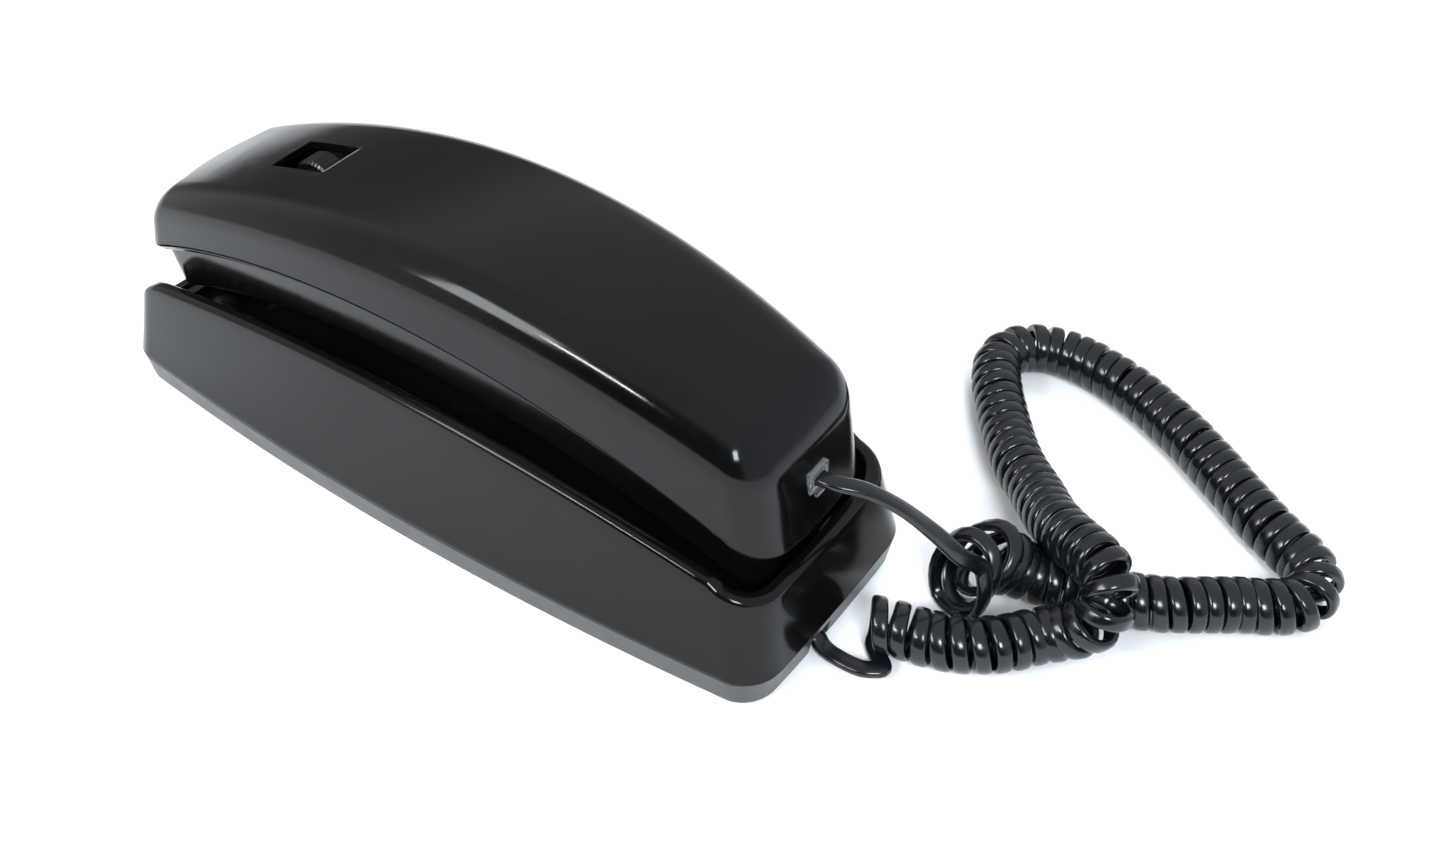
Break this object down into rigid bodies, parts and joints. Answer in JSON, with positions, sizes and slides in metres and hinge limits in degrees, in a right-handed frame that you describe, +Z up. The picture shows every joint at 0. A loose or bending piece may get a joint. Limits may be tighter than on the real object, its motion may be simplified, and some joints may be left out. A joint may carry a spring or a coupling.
{
  "type": "rotary telephone",
  "caption": "Two-piece telephone: a long crowned handset with a dial in its underside, face down on a boat-shaped cradle base, with a curly cord.",
  "frame": {"origin": "centre of the base's footprint on the table, at the underside of the feet", "axes": "+Z up; -Y towards the cord end and +Y towards the ear end; X across the telephone"},
  "size_m": [0.1675, 0.3132, 0.0828],
  "materials": {
    "gloss_black": "polished black moulding",
    "pan_black": "satin black moulding",
    "satin_black": "satin black",
    "rubber": "matt",
    "clear_plastic": "clear",
    "cord_black": "glossy flexible cord",
    "steel": "zinc plated",
    "brass": "turned",
    "bell_metal": "nickel plated",
    "board": "phenolic board",
    "ivory": "ivory moulding",
    "copper": "enamelled winding",
    "capsule_grey": "anodised case"
  },
  "bodies": {
    "base": {"base_housing": "gloss_black", "base_pan": "pan_black", "foot_1": "rubber", "foot_2": "rubber", "foot_3": "rubber", "foot_4": "rubber", "pan_screw_1": "steel", "pan_screw_2": "steel", "pan_screw_3": "steel", "pan_screw_4": "steel", "hook_spring": "steel", "hook_switch": "satin_black", "ringer_gong": "bell_metal", "gong_post": "brass", "gong_screw": "steel", "clapper_pin": "steel", "ringer_coil": "copper", "ringer_core": "steel", "network_board": "board", "board_post_1": "satin_black", "board_post_2": "satin_black", "transformer": "steel", "capacitor": "ivory", "loudness_switch": "satin_black", "ballast_plate": "steel", "base_cord_jack": "satin_black", "line_jack": "satin_black", "base_plug": "clear_plastic", "cord_handset_lead": "cord_black", "cord_coil": "cord_black", "cord_base_lead": "cord_black"},
    "handset": {"handset_back_shell": "gloss_black", "handset_face_shell": "gloss_black", "volume_axle": "steel", "volume_control": "satin_black", "volume_bracket": "steel", "receiver_cap": "gloss_black", "receiver_capsule": "capsule_grey", "mouthpiece_cap": "gloss_black", "microphone_capsule": "capsule_grey", "dial_number_plate": "ivory", "dial_finger_stop": "steel", "dial_frame": "steel", "dial_spring_case": "brass", "governor_cup": "steel", "handset_board": "board", "handset_jack": "satin_black", "dial_bowl": "gloss_black", "handset_screw_1": "steel", "handset_screw_2": "steel", "handset_plug": "clear_plastic", "governor_rotor": "brass"},
    "dial": {"dial_finger_wheel": "gloss_black", "dial_centre_cap": "ivory", "dial_shaft": "brass", "dial_main_gear": "brass"},
    "hook_plunger": {"hook_plunger": "satin_black"},
    "volume_thumbwheel": {"volume_thumbwheel": "satin_black"},
    "clapper": {"clapper": "brass"},
    "loudness_slider": {"loudness_slider": "ivory"}
  },
  "joints": [
    {"name": "handset_lift", "type": "slide", "parent": "base", "child": "handset", "axis": [0, 0, 1], "range_m": [0, 0.12]},
    {"name": "hook_press", "type": "slide", "parent": "base", "child": "hook_plunger", "axis": [0, 0, 1], "range_m": [0, 0.003], "deforming": ["hook_spring"]},
    {"name": "dial_turn", "type": "hinge", "parent": "handset", "child": "dial", "pos_m": [0, 0.005, 0.05], "axis": [0, 0, 1], "range_deg": [0, 300], "stiffness_Nm_per_rad": 0.004, "springref_deg": -34.38},
    {"name": "volume_turn", "type": "hinge", "parent": "handset", "child": "volume_thumbwheel", "pos_m": [0, 0.0541, 0.0646], "axis": [1, 0, 0], "range_deg": [-140, 140]},
    {"name": "clapper_swing", "type": "hinge", "parent": "base", "child": "clapper", "pos_m": [-0.016, 0.004, 0.013], "axis": [0, 0, 1], "range_deg": [-10, 6]},
    {"name": "loudness_slide", "type": "slide", "parent": "base", "child": "loudness_slider", "axis": [0, 1, 0], "range_m": [-0.0028, 0.0028]}
  ],
  "couplings": [
    {"joint": "hook_press", "follows": "handset_lift", "ratio": 0.025}
  ]
}
